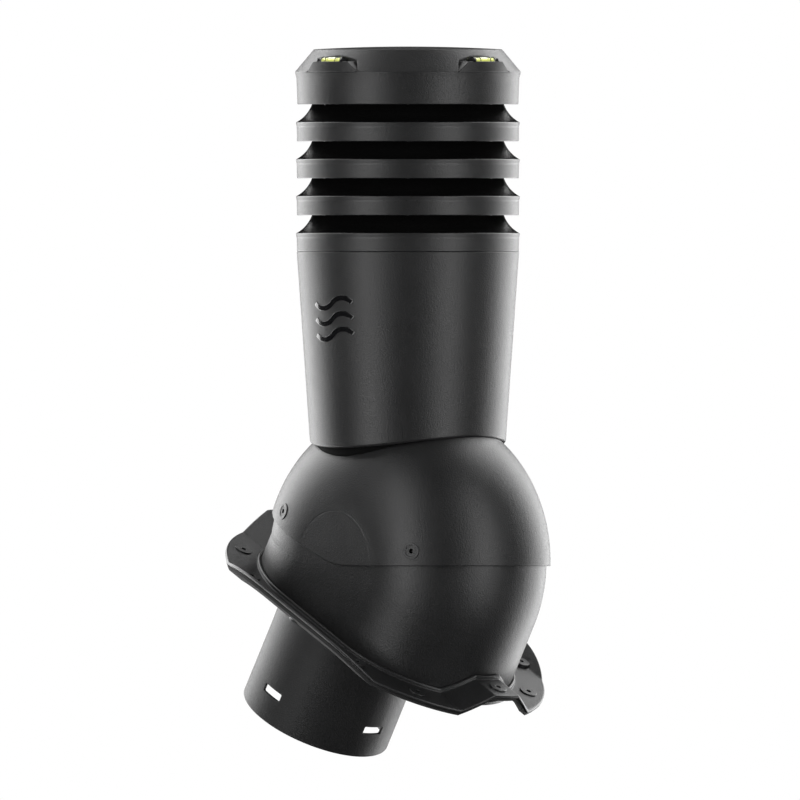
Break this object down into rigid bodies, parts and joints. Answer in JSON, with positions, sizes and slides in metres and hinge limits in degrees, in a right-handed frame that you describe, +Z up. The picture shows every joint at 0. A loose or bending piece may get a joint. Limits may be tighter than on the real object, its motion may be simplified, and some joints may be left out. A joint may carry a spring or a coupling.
{
  "type": "roof vent chimney",
  "caption": "Adjustable roof vent chimney: a profiled skirt seals to the sheet, a barrel joint tilts the insulated tube upright, and a louvred head lets air out.",
  "frame": {"origin": "point where the neck's axis meets the roof sheet, under the middle of the skirt", "axes": "+X points horizontally down the slope, +Y runs along the eaves and is the tilt axis' direction, +Z is up and is the tube's axis direction at rest; the skirt lies at a roof pitch of 30 degrees"},
  "size_m": [0.3415, 0.2654, 0.6832],
  "materials": {
    "moulded_black": "near-black moulded plastic with a fine eroded grain, satin sheen",
    "inner_plastic": "plain dark grey moulded plastic",
    "foam_rubber": "matte black closed-cell rubber",
    "zinc_steel": "zinc-plated steel",
    "brass_washer": "plain brass",
    "symbol_gloss": "polished black plastic inlay",
    "duct_grey": "extruded grey plastic",
    "insulation": "off-white fibre sleeve",
    "level_black": "black plastic",
    "vial_clear": "clear acrylic vial",
    "level_fluid": "yellow-green spirit with a bubble"
  },
  "bodies": {
    "base": {"skirt": "moulded_black", "skirt_seal": "foam_rubber", "barrel_neck": "moulded_black", "floor_plate": "inner_plastic", "floor_screws": "zinc_steel", "spigot_pipe": "moulded_black", "spigot_gasket": "foam_rubber", "spigot_screws": "zinc_steel", "pivot_pins": "zinc_steel", "pivot_washers": "brass_washer", "pivot_clips": "zinc_steel"},
    "hood": {"dome": "moulded_black", "tilt_yoke": "inner_plastic", "outer_tube": "moulded_black", "air_symbol": "symbol_gloss", "inner_duct": "duct_grey", "insulation_ridge": "insulation", "insulation_eaves": "insulation"},
    "head": {"louvre_collar": "moulded_black", "louvre_ring_low": "moulded_black", "louvre_ring_mid": "moulded_black", "louvre_ring_high": "moulded_black", "tie_rods": "zinc_steel", "rod_spacers": "inner_plastic", "insect_cage": "inner_plastic", "cap": "moulded_black", "slope_level_holder": "level_black", "slope_level_vial": "vial_clear", "slope_level_fluid": "level_fluid", "slope_level_plugs": "level_black", "eaves_level_holder": "level_black", "eaves_level_vial": "vial_clear", "eaves_level_fluid": "level_fluid", "eaves_level_plugs": "level_black"}
  },
  "joints": [
    {"name": "hood_tilt", "type": "hinge", "parent": "base", "child": "hood", "pos_m": [0.036, 0, 0.06235], "axis": [0, 1, 0], "range_deg": [-8, 25]},
    {"name": "head_lift", "type": "slide", "parent": "hood", "child": "head", "axis": [0, 0, 1], "range_m": [0, 0.08]}
  ]
}
